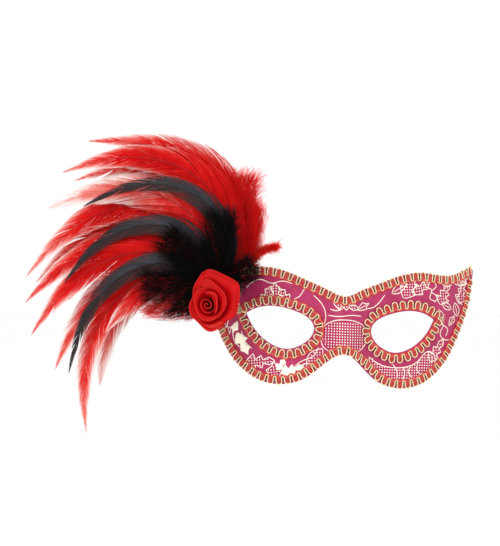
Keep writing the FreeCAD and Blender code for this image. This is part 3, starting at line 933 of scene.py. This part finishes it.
class Shaft:
    """A curled shaft in the plume plane, read by the length along it."""

    def __init__(self, start, bend, length, start_radius):
        t = np.linspace(0, 1, SHAFT_STEPS + 1)
        self.length = length
        self.at = t * length
        self.turn = math.radians(start) + math.radians(bend) * (1 - (1 - t) ** CURL_EASE)
        middle = (self.turn[1:] + self.turn[:-1]) / 2
        step = length / SHAFT_STEPS
        first = math.radians(start)
        across = np.concatenate([[0], np.cumsum(np.cos(middle) * step)])
        up = np.concatenate([[0], np.cumsum(np.sin(middle) * step)])
        self.p = start_radius * math.cos(first) + across
        self.q = start_radius * math.sin(first) + up

    def read(self, along):
        turn = np.interp(along, self.at, self.turn)
        past = np.maximum(along - self.length, 0) + np.minimum(along, 0)
        p = np.interp(along, self.at, self.p) + past * np.cos(turn)
        q = np.interp(along, self.at, self.q) + past * np.sin(turn)
        return p, q, turn

    def beside(self, along, aside):
        p, q, turn = self.read(along)
        return p - np.sin(turn) * aside, q + np.cos(turn) * aside


def vane_share(t, taper):
    """Half-width of the vane along the shaft, as a share of its widest."""
    swell = np.clip((t + 0.02) / 0.26, 0, 1)
    return swell * swell * (3 - 2 * swell) * (1 - 0.97 * np.clip(t, 0, 1) ** taper)


def lay_ribbons(mesh, line, width, roll, tone):
    """Ribbons along many lines (ribbon, station, xyz), facing forwards and rolled a little."""
    way = unit(np.gradient(line, axis=1))
    flat = unit(np.cross(way, AXIS))
    deep = np.cross(flat, way)
    roll = roll[:, None, None]
    side = (flat * np.cos(roll) + deep * np.sin(roll)) * (width / 2)[..., None]
    mesh.strips(line - side, line + side, tone)


def lock_ids(count, local, low, high):
    """Numbers neighbouring barbs into locks of at least low and fewer than high barbs."""
    ids, lock = [], 0
    while len(ids) < count:
        ids += [lock] * int(local.integers(low, high))
        lock += 1
    return np.array(ids[:count])


def build_vane(mesh, shaft, width, rest_h, lean, local, tones, density, taper):
    """The barbs on both sides of a shaft: fine, close to the shaft, with a few partings."""
    length = shaft.length
    count = int(length * density)
    s = STATIONS[None]
    for side in (-1, 1):
        root = (np.linspace(0.015, 0.996, count) + local.normal(0, 0.0008, count)) * length
        t = np.clip(root / length, 0, 1)
        end = root + width * (1.75 * (1 - t ** 2.0) + 0.02) + local.normal(0, 0.35, count)
        for spot in local.uniform(0.12, 0.85, 4) * length:
            drift, spread = local.uniform(0.5, 2.6), local.uniform(2.5, 7.0)
            end = end + drift * np.exp(-np.abs(root - spot) / spread) * np.sign(root - spot)
        lock = lock_ids(count, local, 4, 12)
        mean_end = (np.bincount(lock, end) / np.bincount(lock))[lock]
        end = np.minimum(end + 0.35 * (mean_end - end), length + 1.2)
        stray = local.random(count) < 0.05
        swell = local.normal(1.0, 0.025, lock[-1] + 1)[lock] + 0.14 * stray * local.random(count)
        slow = 1 + 0.05 * np.sin(root * 0.16 + side) + 0.03 * np.sin(root * 0.41 + rest_h)
        far = width / 2 * vane_share(end / length, taper) * swell * slow
        along = root[:, None] + (end - root)[:, None] * s
        aside = far[:, None] * (1 - (1 - s) ** 1.7)
        p, q = shaft.beside(along, aside * side)
        cup = 0.30 * (aside / (width / 2)) ** 2
        wave = 0.15 * np.sin(along / length * 9 + side + rest_h) * aside / (width / 2)
        layer = local.normal(0, 0.07, (count, 1)) * s
        h = rest_h + lean * np.hypot(p, q) + cup + wave + layer
        thick = 0.31 * (1 - 0.90 * s) * (1 - 0.55 * t[:, None] ** 2)
        streak = local.normal(0, 0.05, lock[-1] + 1)[lock] + local.normal(0, 0.04, count)
        tone = tones(t[:, None], s, side, streak[:, None])
        roll = local.normal(0, 0.3, count) + side * 0.12
        lay_ribbons(mesh, plume_point(p, q, h), thick, roll, tone)


def build_wisps(mesh, shaft, rest_h, lean, local, tones, hairs):
    """Loose down at the foot of the vane and long stray hairs beside it."""
    count = FOOT_DOWN + hairs
    low = np.arange(count) < FOOT_DOWN
    root = np.where(low, local.uniform(0.0, 0.2, count), local.uniform(0.1, 0.75, count)) * shaft.length
    side = np.where(low, local.choice([-1, 1], count), np.where(local.random(count) < 0.8, -1, 1))
    size = np.where(low, local.uniform(6, 11, count), local.uniform(12, 24, count))
    slant = np.where(low, local.uniform(0.5, 1.0, count), local.uniform(0.36, 0.56, count))
    s = STATIONS[None]
    along = root[:, None] + size[:, None] * s * np.cos(slant)[:, None]
    aside = size[:, None] * s * np.sin(slant)[:, None] * (1 - 0.25 * s)
    aside = aside + 0.25 * np.sin(s * 9 + root[:, None]) * s
    p, q = shaft.beside(along, aside * side[:, None])
    h = rest_h + lean * np.hypot(p, q) + local.normal(0, 0.12, count)[:, None] * s
    thick = 0.15 * (1 - 0.75 * s) * np.ones((count, 1))
    tone = tones(root[:, None] / shaft.length, s, 1, local.normal(0.08, 0.06, count)[:, None])
    lay_ribbons(mesh, plume_point(p, q, h), thick, local.normal(0, 0.5, count), tone)


def build_feather(layer, name, start, bend, length, width, pale):
    local = np.random.default_rng(100 + layer)
    black = name.startswith("black")
    shaft = Shaft(start, bend, length, QUILL_START)
    rest_h = layer * LAYER_PITCH
    lean = FRONT_LEAN + layer * LEAN_STEP

    def tones(t, s, side, noise):
        if black:
            # On the outer side the tone rises to a blue-grey band beside the shaft, strongest at three
            # tenths of the length. This band is painted sheen. The inner side keeps the feather's dark
            # brown-red.
            outer = 0.84 - 0.45 * s ** 2 if side < 0 else 0.12 + 0 * s
            return outer * (1 - 0.62 * np.abs(t - 0.3) / 0.7) + 0.5 * noise
        # The tone starts low, so the barbs are deepest red towards the feather's foot and next to the
        # shaft. That deep red is painted shade.
        edge = 0.95 * s ** 2.2 * np.clip((t - 0.10) / 0.5, 0, 1)
        end = 0.42 * np.clip((t - 0.55) / 0.45, 0, 1) ** 1.3
        patch = 0.10 * np.sin(11 * t + layer) * np.clip(t * 2, 0, 1)
        return 0.16 + pale * (0.3 + 1.0 * t) + edge + end + patch + noise

    hackle = name.startswith("black_hackle")
    fullness, taper = (1.0, 1.9) if black else (1.2, 3.0)
    mesh = Mesh()
    build_vane(mesh, shaft, width * fullness, rest_h, lean, local, tones, 6.0 if hackle else 5.0, taper)
    build_wisps(mesh, shaft, rest_h, lean, local, tones, 10 if layer < 15 else 46)
    along = np.linspace(0, 0.985 * length, 46)
    p, q, _ = shaft.read(along)
    h = rest_h + lean * np.hypot(p, q) - 0.08
    radius = 0.44 * (1 - along / length) ** 0.8 + 0.07
    if hackle:
        radius = radius * 0.6
    tone = np.repeat(0.12 + 0.7 * pale + 0.7 * (along / length) ** 2, 6)
    mesh.tube(plume_point(p, q, h), radius, 6, 1, tone)
    skins = [BLACK_FEATHER, BLACK_FEATHER] if black else [RED_FEATHER, RED_SHAFT]
    make_piece(name + "_vane", mesh, skins, name + "_body", [name])


def build_puff(number, name, start, bend, length, width, start_radius, rest_h, lean, deep):
    """A marabou tuft: a fan of fine wavy barbs, each with its own barbules."""
    local = np.random.default_rng(300 + number)
    black = name.startswith("black")
    gather, scatter, stretch = (0.25, 0.22, 1.35) if width < SMALL_TUFT else (1.0, 0.40, 1.0)
    shaft = Shaft(start, bend, length, start_radius)
    count = int((46 if black else 90) * length)
    root = local.uniform(-0.45, 0.80, count) * length
    root = np.maximum(root, -(start_radius - 4))
    spread = local.uniform(-0.44, 0.44, count) * width * gather
    slant = spread / width * 1.3 + local.normal(0, scatter, count)
    size = local.uniform(0.55, 1.1, count) * min(width * 0.46, 9) * stretch
    hair = local.random(count) < 0.10
    size = np.where(hair, size * 1.4, size)
    s = np.linspace(0, 1, BARB_STEPS + 1)[None]
    bow = local.normal(0, 0.28, count)[:, None]
    along = root[:, None] + size[:, None] * np.cos(slant)[:, None] * s
    aside = spread[:, None] + size[:, None] * (np.sin(slant)[:, None] * s + bow * s ** 2)
    waver = local.uniform(0, 6.3, (count, 2))
    aside = aside + 0.4 * np.sin(s * 8 + waver[:, :1]) * s
    p, q = shaft.beside(along, aside)
    near = q[:, -1] > FLUFF_FLOOR + local.uniform(-2.5, 2.5, count)
    if name in EDGED_PUFFS:
        near &= p[:, -1] < FLUFF_EDGE + local.uniform(-1.5, 2.5, count)
    count = int(near.sum())
    p, q, s, waver = p[near], q[near], s * np.ones((count, 1)), waver[near]
    low, high = deep
    drift = local.uniform(low, high, count)[:, None]
    h = rest_h + lean * np.hypot(p, q) + drift * (0.25 + 0.75 * s)
    h = h + 0.3 * np.sin(s * 6 + waver[:, 1:]) * s
    line = plume_point(p, q, h)
    mesh = Mesh()
    noise = local.normal(0, 0.12, count)[:, None]
    tone = 0.22 + 0.40 * s ** 3 + noise
    thick = 0.17 * (1 - 0.75 * s) * np.ones((count, 1))
    lay_ribbons(mesh, line, thick, local.uniform(-1.2, 1.2, count), tone)
    # Barbules are single tapered slips that leave each barb at a shallow angle.
    way = unit(np.gradient(line, axis=1))
    slips, shades = [], []
    for at in np.linspace(0.02, 0.96, BARBULES):
        spot = at * BARB_STEPS
        i = min(int(spot), BARB_STEPS - 1)
        foot = line[:, i] * (1 - spot + i) + line[:, i + 1] * (spot - i)
        ahead = way[:, i]
        flat = unit(np.cross(ahead, AXIS))
        turn = local.uniform(0, 2 * math.pi, count)[:, None]
        out = flat * np.cos(turn) + np.cross(flat, ahead) * np.sin(turn) * 0.7
        reach = local.uniform(1.3, 3.0, count)[:, None] * (1.15 - 0.65 * at)
        tip = foot + ahead * reach * 0.8 + out * reach * 0.6
        half = unit(np.cross(ahead, out)) * 0.06
        slips.append(np.stack([foot - half, foot + half, tip], 1))
        shades.append(np.repeat(0.25 + 0.35 * at ** 2 + noise, 3, 1))
    slips = np.concatenate(slips)
    mesh.add(slips, np.arange(len(slips) * 3).reshape(-1, 3).tolist(), 0, np.concatenate(shades))
    skin = BLACK_DOWN if black else RED_DOWN
    make_piece(name + "_down", mesh, [skin], replaces=[name], smooth=False)


def build_plume():
    for layer, row in enumerate(FEATHERS):
        build_feather(layer, *row)
    last = len(FEATHERS) - 1
    back_h = last * LAYER_PITCH + BACK_PUFF_GAP
    back_lean = FRONT_LEAN + last * LEAN_STEP
    number = 0
    for puffs, h, lean, deep in ((FRONT_PUFFS, FRONT_PUFF_H, FRONT_LEAN, (-7.0, 3.0)),
                                 (BACK_PUFFS, back_h, back_lean, (-1.4, 5.0))):
        for name, start, bend, length, width, start_radius, setback in puffs:
            build_puff(number, name, start, bend, length, width, start_radius, h + setback, lean, deep)
            number += 1


# ---- Ribbon rose -----------------------------------------------------------------------
ROSE_OFFSET = (5.8, -8.5)
ROSE_FRONT_H = -9.7
BUD = np.array([-4.4, -2.8])
BUD_TURNS = 2.15
BUD_FOOT = 2.0
BUD_SQUASH = 1.12
RIBBON_THICKNESS = 0.00022         # in metres
# Petals from outside in: rim as (right, up, forward) from the rose's middle, then the
# first and last angle of its foot round the bud, the foot's radius and how far it bellies.
PETALS = [
    ([(-9.0, 13.5, 6.5), (-6.3, 17.6, 8.6), (3.5, 15.4, 9.6), (14.6, 9.6, 10.2), (14.4, 1.0, 9.6),
      (12.6, -8.4, 8.8), (5.5, -12.8, 7.4)], 125, -62, 4.6, 1.4),
    ([(8.5, -11.0, 6.4), (3.0, -15.8, 8.0), (-1.8, -17.4, 8.8), (-8.5, -13.6, 9.2), (-13.4, -8.6, 9.2),
      (-14.6, -1.2, 8.6), (-13.4, 3.0, 7.0)], -52, -195, 4.6, 1.5),
    ([(-13.2, -6.0, 6.6), (-13.6, 1.5, 8.2), (-11.0, 10.5, 9.0), (-7.6, 16.4, 8.6), (-2.0, 15.6, 6.8)],
     195, 92, 4.4, 1.2),
    ([(-9.6, 8.6, 8.2), (-6.4, 11.6, 9.8), (1.8, 8.2, 10.7), (7.0, -1.2, 11.0), (4.4, -7.8, 9.8),
      (0.0, -10.8, 8.0)], 140, -72, 3.9, 1.0),
    ([(-5.0, 8.2, 8.2), (-10.4, 4.6, 9.6), (-11.2, -3.0, 10.2), (-7.6, -9.8, 10.0), (-1.5, -11.4, 9.4),
      (3.4, -8.6, 8.2)], 110, 305, 3.8, 1.0),
    ([(-6.4, 4.8, 9.4), (-2.6, 4.6, 10.8), (1.0, 2.2, 11.2), (1.5, -3.6, 10.8), (0.4, -8.2, 9.2)],
     110, -60, 3.2, 0.6),
]


def rose_point(p, q, d):
    """Right, up and forward from the middle of the rose's foot."""
    return plume_point(p + ROSE_OFFSET[0], q + ROSE_OFFSET[1], ROSE_FRONT_H - d)


def petal(mesh, rim, first, last, foot, belly, number):
    """One fold of ribbon from its foot round the bud to its rim, which turns over outwards."""
    columns = 60
    rim = spline(rim, columns)
    share = np.linspace(0, 1, columns)
    turn = np.radians(first + (last - first) * share)
    base = np.stack([BUD[0] + foot * np.cos(turn), BUD[1] + foot * np.sin(turn)], 1)
    outward = unit(rim[:, :2] - BUD)
    ease = np.sin(share * math.pi) ** 0.5
    pleat = np.sin(share * 13 + number * 1.9) + 0.6 * np.sin(share * 29 + number)
    rows = []
    for v in np.linspace(0, 1, 17):
        flat = base + (rim[:, :2] - base) * v ** 1.2
        swell = belly * math.sin(math.pi * v) ** 1.1 + 0.28 * pleat * math.sin(math.pi * v) ** 0.8
        depth = 0.5 + (rim[:, 2] - 0.5) * math.sin(v * math.pi / 2) ** 0.8
        flat = flat + outward * (swell * 0.6)[:, None]
        rows.append(rose_point(flat[:, 0], flat[:, 1], depth + 0.10 * pleat * v * (1 - v)))
    lip = ease * (0.75 + 0.55 * np.sin(share * 7 + number * 2.3) ** 2) + 0.1
    for bend in np.linspace(0.25, 2.0, 8):
        flat = rim[:, :2] + outward * (lip * (1 - math.cos(bend)))[:, None]
        rows.append(rose_point(flat[:, 0], flat[:, 1], rim[:, 2] + lip * 0.8 * math.sin(bend)))
    mesh.grid(np.array(rows))


def bud(mesh):
    """The rolled middle: a strip wound into a loose, flared and slightly squashed spiral."""
    turn = np.linspace(0, 2 * math.pi * BUD_TURNS, 150)
    share = turn / turn[-1]
    radius = 0.35 + 4.4 * share ** 1.1 + 0.22 * np.sin(turn * 2.3)
    lift = 8.9 - 0.30 * radius + 0.55 * np.sin(turn * 0.9 + 1)
    lip = 0.2 + 0.5 * share * np.sin(turn * 0.8) ** 2

    def coil(wide, depth):
        across = BUD[0] + wide * np.cos(turn)
        return rose_point(across, BUD[1] + BUD_SQUASH * wide * np.sin(turn), depth)

    rows = [coil(radius * (0.80 + 0.28 * v ** 2), BUD_FOOT + lift * v) for v in np.linspace(0, 1, 11)]
    for bend in (0.5, 1.0, 1.5, 2.0):
        wide = radius * 1.08 + lip * (1 - math.cos(bend))
        rows.append(coil(wide, BUD_FOOT + lift + lip * math.sin(bend)))
    mesh.grid(np.array(rows))


def build_rose():
    outer, inner = Mesh(), Mesh()
    for number, (rim, first, last, foot, belly) in enumerate(PETALS):
        petal(outer, rim, first, last, foot, belly, number)
    bud(inner)
    pieces = [make_piece("rose_petals", outer, [ROSE_SATIN], replaces=["rose_ribbon"]),
              make_piece("rose_rolled_bud", inner, [ROSE_SATIN], replaces=["rose_bud"])]
    for piece in pieces:
        thick = piece.modifiers.new("ribbon_thickness", "SOLIDIFY")
        thick.thickness = RIBBON_THICKNESS
        thick.offset = -1
    return pieces


# ---- Pads, binding and anchors ------------------------------------------------------------
def read_vertices(data, what):
    values = np.zeros(len(data.vertices) * 3, np.float32)
    data.vertices.foreach_get(what, values)
    return values.reshape(-1, 3)


def felt_copy(name, node, voxel, nap, seed):
    """A CAD solid's shape as felt: remeshed, softened and given an uneven nap."""
    source = frame["nodes"][node]
    work = bpy.data.objects.new(name + "_work", source.data.copy())
    bpy.context.scene.collection.objects.link(work)
    remesh = work.modifiers.new("remesh", "REMESH")
    remesh.mode = "VOXEL"
    remesh.voxel_size = voxel * MM
    soften = work.modifiers.new("soften", "SMOOTH")
    soften.factor = 0.5
    soften.iterations = 4
    graph = bpy.context.evaluated_depsgraph_get()
    data = bpy.data.meshes.new_from_object(work.evaluated_get(graph))
    bpy.data.objects.remove(work)
    points, normals = read_vertices(data, "co") / MM, read_vertices(data, "normal")
    local = np.random.default_rng(seed)
    points = points + normals * local.normal(0, nap, (len(points), 1))
    mesh = Mesh()
    mesh.add(points, [tuple(p.vertices) for p in data.polygons])
    count = len(points) // 3
    chosen = local.choice(len(points), count, replace=False)
    foot = points[chosen]
    lean = normals[chosen] + local.normal(0, 0.7, (count, 3))
    tip = foot + lean * 0.4 + local.normal(0, 0.08, (count, 3))
    line = np.stack([foot, foot + lean * 0.22, tip], 1)
    lay_ribbons(mesh, line, np.full((count, 3), 0.05), local.uniform(-1.5, 1.5, count), 0.0)
    return mesh


def build_pads():
    pad = felt_copy("plume_pad_felt", "plume_pad", 0.8, 0.05, 41)
    piece = make_piece("plume_pad_felt", pad, [PAD_FELT], replaces=["plume_pad"])
    disc = felt_copy("rose_base_felt", "rose_base", 0.5, 0.03, 42)
    piece = make_piece("rose_base_felt", disc, [PAD_FELT], replaces=["rose_base"])


def build_binding():
    """Bound quills: a thread winding round the quill ends, sealed with glue."""
    low_h, high_h, radius = -8.4, 18.0, 3.5
    windings, steps, sides = 36, 900, 24
    mesh = Mesh()
    turn = np.linspace(0, 2 * math.pi * windings, steps)
    h = np.linspace(low_h + 0.4, high_h - 0.6, steps)
    wide = radius - 0.35 + 0.12 * np.sin(turn * 0.37)
    mesh.tube(plume_point(wide * np.cos(turn), wide * np.sin(turn), h), 0.33, 5)
    rows = []
    around = np.linspace(0, 2 * math.pi, sides + 1)[:-1]
    for at in np.linspace(low_h, high_h, 40):
        shape = radius - 0.5 + 0.22 * np.sin(around * 3 + at * 0.8) + 0.1 * np.sin(around * 5 - at)
        rows.append(plume_point(shape * np.cos(around), shape * np.sin(around), np.full(sides, at)))
    mesh.grid(np.array(rows), 1, close=True)
    cap = tuple(range(sides))
    mesh.add(rows[0], [cap], 1)
    mesh.add(rows[-1], [cap[::-1]], 1)
    make_piece("quill_binding_thread", mesh, [DARK_YARN, glue()],
               replaces=["quill_binding"])


TAB_HEIGHT = (2.5, 13.5)
TAB_X = 78.6
TAB_THICKNESS = 1.15
TAB_REAR = 56.6
TAB_CORNER_CUT = 1.5
RIB_PITCH = 0.95
EYELET = (52.0, 8.0)         # the eyelet's depth and height
EYELET_HOLE_R = 2.05


def build_tab(side, material):
    """A folded ribbon tab: glued flat behind the wing, then turned straight back."""
    foot_x = np.linspace(67.2, TAB_X - 1.0, 14)
    foot = face_point(foot_x, EYELET[1], -0.62)[:, :2]
    corner = np.array([TAB_X + TAB_THICKNESS / 2, foot[-1, 1] + 2.0])
    rear = np.array([TAB_X + TAB_THICKNESS / 2, TAB_REAR])
    path = np.concatenate([foot, [corner], corner + (rear - corner) * np.linspace(0.1, 1, 9)[:, None]])
    path = spline(path, 90)
    at = arc_lengths(path)
    way = unit(np.gradient(path, axis=0))
    hole_at = np.interp(EYELET[0], path[20:, 1], at[20:])
    turn = np.linspace(0, 2 * math.pi, 29)[:-1]
    hole = np.stack([hole_at + EYELET_HOLE_R * np.cos(turn),
                     EYELET[1] + EYELET_HOLE_R * np.sin(turn)], 1)
    low, high = TAB_HEIGHT
    end, cut = at[-1], TAB_CORNER_CUT
    corners = [(at[0], low), (end - cut, low), (end, low + cut), (end, high - cut),
               (end - cut, high), (at[0], high)]
    outline = fine_line(corners + corners[:1], 0.45)[:-1]
    points, tris = region(outline, [hole], 0.42)

    def skin(level):
        def lift(p):
            x, y = (np.interp(p[:, 0], at, path[:, i]) for i in range(2))
            wx, wy = (np.interp(p[:, 0], at, way[:, i]) for i in range(2))
            rib = 0.07 * np.cos(p[:, 0] * 2 * math.pi / RIB_PITCH) * level
            off = level * TAB_THICKNESS / 2 * 0.86 + rib
            size = np.hypot(wx, wy)
            y_off = y - off * wx / size
            tilt = BROW_CURL * (p[:, 1] ** 2 - EYELET[1] ** 2) * (p[:, 0] < at[-1] * 0.35)
            return np.stack([(x + off * wy / size) * side, y_off + tilt, p[:, 1]], 1)
        return lift

    mesh = Mesh()
    slab(mesh, points, tris, skin(side), skin(-side), 0.08)
    name = "right" if side > 0 else "left"
    piece = make_piece("anchor_ribbon_" + name, mesh, [material],
                       replaces=["anchor_tab_" + name])


def paint_cad_nodes():
    for node, material in (("mask_shell", shell_plastic()), ("anchor_eyelet_right", eyelet_brass()),
                           ("anchor_eyelet_left", eyelet_brass())):
        data = frame["nodes"][node].data
        data.materials.clear()
        data.materials.append(material)


# ---- Camera, light and floor -----------------------------------------------------------------
CAMERA_AZIMUTH = math.radians(-4.0)
CAMERA_ROLL = math.radians(2.2)
CAMERA_DISTANCE = 1.5
FRAME_HEIGHT = 0.3385      # what the picture's long side spans at the mask
FRAME_CENTRE = (-0.0595, 0.0303)
FLOOR_DROP = 0.16
FLOOR_HALF = 20
BACKDROP = 1.03             # strength of the white world
# Area lamps: name, place from the object's middle, size, power.
LAMPS = [("key", (-0.7, -1.3, 1.0), 0.6, 13.0), ("fill", (1.1, -1.0, 0.3), 0.9, 2.5),
         ("rear", (0.5, 1.4, 0.9), 0.8, 9.0), ("side", (-1.3, 0.3, 0.5), 0.7, 2.5)]


def build_stage():
    scene = bpy.context.scene
    right = Vector((math.cos(CAMERA_AZIMUTH), math.sin(CAMERA_AZIMUTH), 0))
    up = Vector((0, 0, 1))
    back = Vector((math.sin(CAMERA_AZIMUTH), -math.cos(CAMERA_AZIMUTH), 0))
    across = right * math.cos(CAMERA_ROLL) + up * math.sin(CAMERA_ROLL)
    tall = up * math.cos(CAMERA_ROLL) - right * math.sin(CAMERA_ROLL)
    data = bpy.data.cameras.new("camera")
    data.lens = CAMERA_DISTANCE * data.sensor_width / FRAME_HEIGHT
    camera = bpy.data.objects.new("camera", data)
    place = right * FRAME_CENTRE[0] + up * FRAME_CENTRE[1] + back * CAMERA_DISTANCE
    turn = Matrix((across, tall, back)).transposed().to_4x4()
    camera.matrix_world = Matrix.Translation(place) @ turn
    scene.collection.objects.link(camera)
    scene.camera = camera

    middle = (CAD_BOX[0] + CAD_BOX[1]) / 2
    for name, spot, size, power in LAMPS:
        light = bpy.data.lights.new(name, "AREA")
        light.size = size
        light.energy = power
        lamp = bpy.data.objects.new(name, light)
        lamp.location = middle + Vector(spot)
        lamp.rotation_mode = "QUATERNION"
        lamp.rotation_quaternion = (middle - lamp.location).to_track_quat("-Z", "Y")
        scene.collection.objects.link(lamp)

    world = bpy.data.worlds.new("studio")
    world.use_nodes = True
    backdrop = world.node_tree.nodes["Background"]
    backdrop.inputs["Color"].default_value = (1, 1, 1, 1)
    backdrop.inputs["Strength"].default_value = BACKDROP
    scene.world = world
    scene.view_settings.view_transform = "Standard"

    s = Shader("pale_floor", 0.8)
    cloud = s.noise(3.0, 2.0)
    s.colour(s.ramp(cloud, [(0.3, (0.955, 0.955, 0.955)), (0.7, (0.975, 0.975, 0.975))]))
    floor_data = bpy.data.meshes.new("floor")
    level = CAD_BOX[0].z - FLOOR_DROP
    corners = [(x * FLOOR_HALF, y * FLOOR_HALF, level) for x, y in ((-1, -1), (1, -1), (1, 1), (-1, 1))]
    floor_data.from_pydata(corners, [], [(0, 1, 2, 3)])
    floor_data.materials.append(s.material)
    floor = bpy.data.objects.new("floor", floor_data)
    scene.collection.objects.link(floor)


build_stage()
fabric = build_fabric()
turnings = build_turnings()
lining = build_lining()
print_foil = build_print()
build_braids()
build_plume()
rose = build_rose()
build_pads()
build_binding()
tab_ribbon = yarn("black_grosgrain", (0.014, 0.014, 0.016), (0.005, 0.005, 0.006),
                  (0.05, 0.05, 0.055), 0.6)
for side in (1, -1):
    build_tab(side, tab_ribbon)
paint_cad_nodes()
